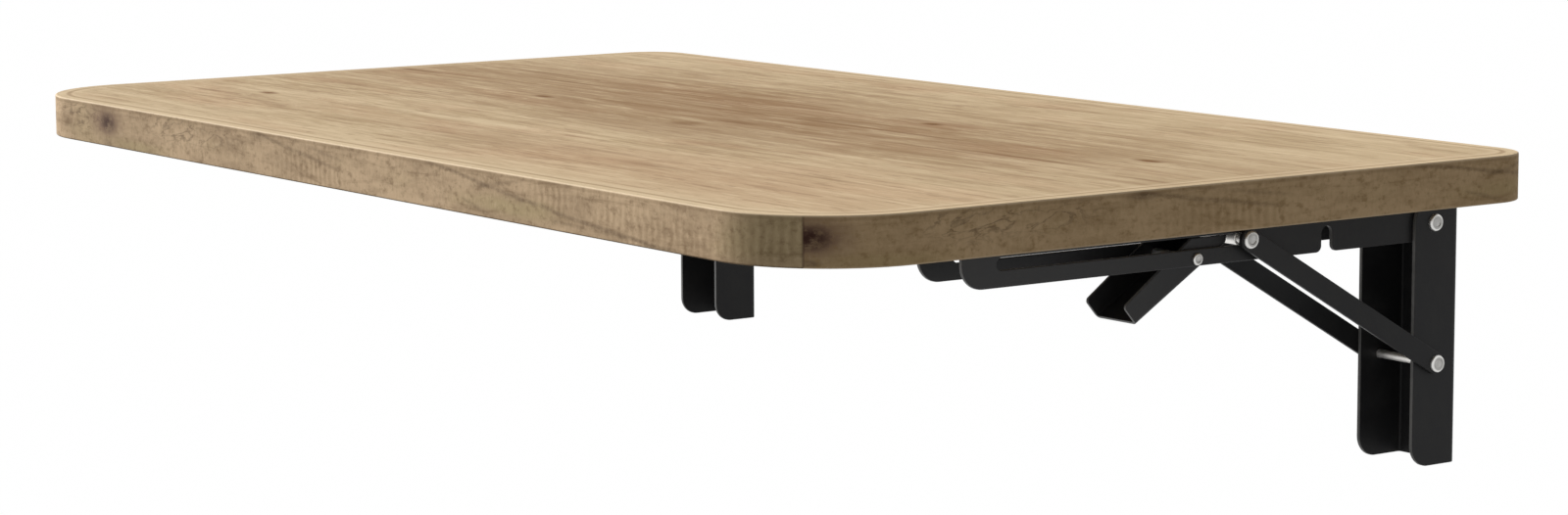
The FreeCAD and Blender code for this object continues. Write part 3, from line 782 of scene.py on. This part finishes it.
def sawn_band():
    band = Finish("sawn_edge_band", Specular_IOR_Level=BAND_SPECULAR)
    up = band.axes()[2]
    along = band.mark(ALONG)
    joint = band.ease(band.far(along, BAND_JOINT), JOINT_HALF_WIDTH, JOINT_HALF_CORE)
    second = band.node("ShaderNodeMath", {"operation": "GREATER_THAN"}, {0: along, 1: BAND_JOINT})
    along = along - second * BAND_REPEAT
    band.place = band.node("ShaderNodeCombineXYZ", {}, {0: along, 1: up, 2: 0.0})
    cloud = band.noise((20, 50, 1), detail=5, roughness=0.64)
    slant = band.noise((24, 150, 1), detail=5, roughness=0.68, distortion=0.9, shift=(5, 3, 0))
    mottle = band.noise((170, 240, 1), detail=5, roughness=0.7, shift=(2, 8, 0))
    patches = band.noise((12, 30, 1), detail=2, shift=(8, 1, 0))
    speckle = band.noise((620, 300, 1), detail=3, roughness=0.65, shift=(6, 6, 0))
    waver = band.noise((60, 90, 1), detail=2, shift=(1, 5, 0))
    tone = cloud * 0.60 + slant * 0.30 + mottle * 0.20
    # Olive patches, the last of them painted shade on the near front corner, and faint olive clouds.
    olive_and_shade = patch_share(band, OLIVE_AND_CORNER_SHADE_PATCHES, cloud) * 0.60 + band.ease(patches, 0.56, 0.74) * 0.30
    sawn = patch_share(band, SAWN_PATCHES, cloud) * 0.75 + band.ease(patches, 0.50, 0.34) * 0.25
    swing = (along * SAW_MARKS_PER_METRE + waver * SAW_MARK_WAVER) * math.tau
    saw_marks = band.node("ShaderNodeMath", {"operation": "SINE"}, {0: swing}) * 0.5 + 0.5
    broken = 0.45 + 0.55 * band.ease(mottle, 0.36, 0.56)
    colour = band.overlay(
        BAND_TAN,
        (band.ease(tone, 0.44, 0.66), BAND_GREY),
        (olive_and_shade, BAND_OLIVE),
        (band.ease(slant, 0.54, 0.72) * 0.50, BAND_BROWN),
        (band.ease(mottle, 0.52, 0.66) * (0.44 + 0.14 * second), BAND_BROWN),
        (band.ease(speckle, 0.50, 0.72) * 0.26, BAND_BROWN),
        (band.ease(speckle, 0.46, 0.32) * 0.24, BAND_ARRIS),
        (saw_marks * sawn * (0.22 + 0.24 * broken), BAND_BROWN),
        (second * 0.30, BAND_SHADED),
    )
    colour = band_marks(band, colour, along, up, second, cloud, mottle, broken)
    colour = band.mix(joint * 0.45, colour, BAND_KNOT)
    band.shade("Base Color", band_arrises(band, colour, up, second))
    band.shade("Roughness", BAND_ROUGHNESS + (speckle - 0.5) * BAND_ROUGHNESS_SPREAD)
    band.bump(saw_marks * sawn * 0.4 + mottle * 0.5 + speckle * 0.3, BAND_GRAIN_DEPTH)
    return band.material


edge_band = dressed_copy("edge_band", "edge_band_trimmed", BAND_SEAM)
mark_along(edge_band)
finish_piece(edge_band, sawn_band(), "leaf")

# Board screws: zinc plated pan heads with a cross recess, driven up through each arm's web.
# One screw is made, then copied to each hole; the four of an arm are one piece.
RECESS_LENGTH = 4.4 * MM
RECESS_WIDTH = 1.1 * MM
RECESS_DEPTH = 1.3 * MM
SCREW_RADIUS = 2.0 * MM
SCREW_HEAD_RADIUS = 4.0 * MM
SCREW_HEAD_HEIGHT = 2.4 * MM
SCREW_SIDES = 40
CROWN_BEVEL = 1.32 * MM
CROWN_STEPS = 5
CROWN_SLACK = 0.24 * MM
UPRIGHT = 0.9
SCREWS_PER_ARM = 4


def cross_cutter(spot):
    """Two crossed bars that cut a driver's recess."""
    bars = []
    for size in ((RECESS_LENGTH, RECESS_WIDTH), (RECESS_WIDTH, RECESS_LENGTH)):
        bpy.ops.mesh.primitive_cube_add(size=1, location=spot)
        bar = bpy.context.object
        bar.scale = (*size, 2 * RECESS_DEPTH)
        bars.append(bar)
    return bars


def pan_screw(spot, top):
    """A screw with its head's crown at spot, pointing up to the height top."""
    deselect()
    seat = spot.z + SCREW_HEAD_HEIGHT
    middle = spot + Vector((0, 0, SCREW_HEAD_HEIGHT / 2))
    bpy.ops.mesh.primitive_cylinder_add(vertices=SCREW_SIDES, radius=SCREW_HEAD_RADIUS,
                                        depth=SCREW_HEAD_HEIGHT, location=middle)
    screw = bpy.context.object
    bpy.ops.object.transform_apply(location=True, rotation=True, scale=True)
    bpy.ops.object.mode_set(mode="EDIT")
    bpy.ops.mesh.select_all(action="DESELECT")
    bpy.ops.object.mode_set(mode="OBJECT")
    for face in screw.data.polygons:
        face.select = face.normal.z > UPRIGHT
    bpy.ops.object.mode_set(mode="EDIT")
    bpy.ops.mesh.inset(thickness=SCREW_HEAD_RADIUS - SCREW_RADIUS)
    bpy.ops.mesh.extrude_region_move(TRANSFORM_OT_translate={"value": (0, 0, top - seat)})
    bpy.ops.object.mode_set(mode="OBJECT")
    for edge in screw.data.edges:
        ends = [screw.data.vertices[place].co.z for place in edge.vertices]
        edge.select = max(ends) < spot.z + CROWN_SLACK
    for face in screw.data.polygons:
        face.select = face.normal.z < -UPRIGHT and face.center.z < spot.z + CROWN_SLACK
    bpy.ops.object.mode_set(mode="EDIT")
    bpy.ops.mesh.bevel(offset=CROWN_BEVEL, segments=CROWN_STEPS, affect="EDGES")
    bpy.ops.object.mode_set(mode="OBJECT")
    for bar in cross_cutter(spot):
        take_up(screw)
        cut = screw.modifiers.new("recess", "BOOLEAN")
        cut.operation = "DIFFERENCE"
        cut.object = bar
        bpy.ops.object.modifier_apply(modifier=cut.name)
        bpy.data.objects.remove(bar)
    bpy.ops.object.shade_smooth_by_angle(angle=SHARP_ANGLE)
    return screw


for side in SIDES:
    group = f"board_screws_{side}"
    low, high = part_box(group)
    first = Vector(((low.x + high.x) / 2, high.y - SCREW_HEAD_RADIUS, low.z))
    pitch = (high.y - low.y - 2 * SCREW_HEAD_RADIUS) / (SCREWS_PER_ARM - 1)
    screw = pan_screw(first, high.z)
    copies = []
    for count in range(1, SCREWS_PER_ARM):
        copy = bpy.data.objects.new(f"{group}_{count}", screw.data.copy())
        bpy.context.scene.collection.objects.link(copy)
        copy.data.transform(Matrix.Translation((0, -count * pitch, 0)))
        copies.append(copy)
    take_up(screw)
    for copy in copies:
        copy.select_set(True)
    bpy.ops.object.join()
    screw.name = f"{group}_plated"
    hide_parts(group)
    finish_piece(screw, BRIGHT_ZINC, "leaf")

# Stage: a wide pale floor at a usual table height below the board, and a white surround.
# One broad soft lamp stands above the front left, so the top is bright and the near end lies in shade.
TABLE_HEIGHT = 0.75
FLOOR_SPAN = 60
FLOOR_GREY = (0.30, 0.30, 0.30, 1)
WHITE = (1, 1, 1, 1)
FLOOR_GLOW_SHARE = 0.75
SURROUND_LIGHT = 0.29
LAMP_PLACE = (-1, -2, 3)
LAMP_STRENGTH = 4.75
LAMP_DIRECTION = (1.80, 0.62, -1.0)
LAMP_SPREAD = math.radians(22)


def pale_floor():
    """Grey to the light that it throws back, white where it is looked at, clear from below."""
    floor = Finish("pale_floor", Base_Color=FLOOR_GREY, Roughness=1.0, Specular_IOR_Level=0.0)
    seen = floor.node("ShaderNodeLightPath", {}, {}, "Is Camera Ray")
    mirrored = floor.node("ShaderNodeLightPath", {}, {}, "Is Glossy Ray")
    refracted = floor.node("ShaderNodeLightPath", {}, {}, "Is Transmission Ray")
    glow = floor.node("ShaderNodeEmission", {}, {"Color": WHITE, "Strength": 1.0})
    matt = floor.node("ShaderNodeBsdfDiffuse", {}, {"Color": WHITE})
    bright = floor.node("ShaderNodeMixShader", {}, {0: FLOOR_GLOW_SHARE, 1: matt, 2: glow})
    plain = Value(floor, floor.shader.outputs[0])
    shown = floor.node("ShaderNodeMixShader", {}, {0: seen + mirrored + refracted, 1: plain, 2: bright})
    clear = floor.node("ShaderNodeBsdfTransparent", {}, {})
    behind = floor.node("ShaderNodeNewGeometry", {}, {}, "Backfacing")
    both = floor.node("ShaderNodeMixShader", {}, {0: behind, 1: shown, 2: clear})
    floor.feed(floor.tree.nodes["Material Output"].inputs["Surface"], both)
    return floor.material


deselect()
floor_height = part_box("table_top")[1].z - TABLE_HEIGHT
bpy.ops.mesh.primitive_plane_add(size=FLOOR_SPAN, location=(0, 0, floor_height))
floor_plane = bpy.context.object
floor_plane.name = "floor"
floor_plane.data.materials.append(pale_floor())

world = bpy.data.worlds.new("white_surround")
world.use_nodes = True
bpy.context.scene.world = world
backdrop = world.node_tree.nodes["Background"]
rays = world.node_tree.nodes.new("ShaderNodeLightPath")
strength = None
for ray in ("Is Camera Ray", "Is Glossy Ray", "Is Transmission Ray"):
    brighter = world.node_tree.nodes.new("ShaderNodeMath")
    brighter.operation = "MAXIMUM"
    brighter.inputs[1].default_value = SURROUND_LIGHT
    if strength:
        world.node_tree.links.new(strength, brighter.inputs[1])
    world.node_tree.links.new(rays.outputs[ray], brighter.inputs[0])
    strength = brighter.outputs[0]
world.node_tree.links.new(strength, backdrop.inputs["Strength"])
backdrop.inputs["Color"].default_value = WHITE

bpy.ops.object.light_add(type="SUN", location=LAMP_PLACE)
lamp = bpy.context.object
lamp.data.energy = LAMP_STRENGTH
lamp.data.angle = LAMP_SPREAD
lamp.rotation_mode = "QUATERNION"
lamp.rotation_quaternion = Vector(LAMP_DIRECTION).to_track_quat("-Z", "Y")

# Camera: stands off the near front corner, a little above the board, as the photograph does.
# Its place, turn and lens were worked out from the board's edges in the 1600 x 526 picture.
CAMERA_PLACE = (1.5593, -1.2839, 0.2790)
CAMERA_YAW = math.radians(144.3766)
CAMERA_PITCH = math.radians(7.7616)
CAMERA_ROLL = math.radians(-0.2639)
CAMERA_LENS = 90.154
SENSOR_WIDTH = 36.0

bpy.ops.object.camera_add(location=CAMERA_PLACE)
camera = bpy.context.object
camera.data.sensor_fit = "HORIZONTAL"
camera.data.sensor_width = SENSOR_WIDTH
camera.data.lens = CAMERA_LENS
yaw = Matrix.Rotation(CAMERA_YAW - math.pi / 2, 4, "Z")
pitch = Matrix.Rotation(math.pi / 2 - CAMERA_PITCH, 4, "X")
roll = Matrix.Rotation(CAMERA_ROLL, 4, "Z")
camera.matrix_world = Matrix.Translation(CAMERA_PLACE) @ yaw @ pitch @ roll
bpy.context.scene.camera = camera
bpy.context.scene.view_settings.view_transform = "Standard"
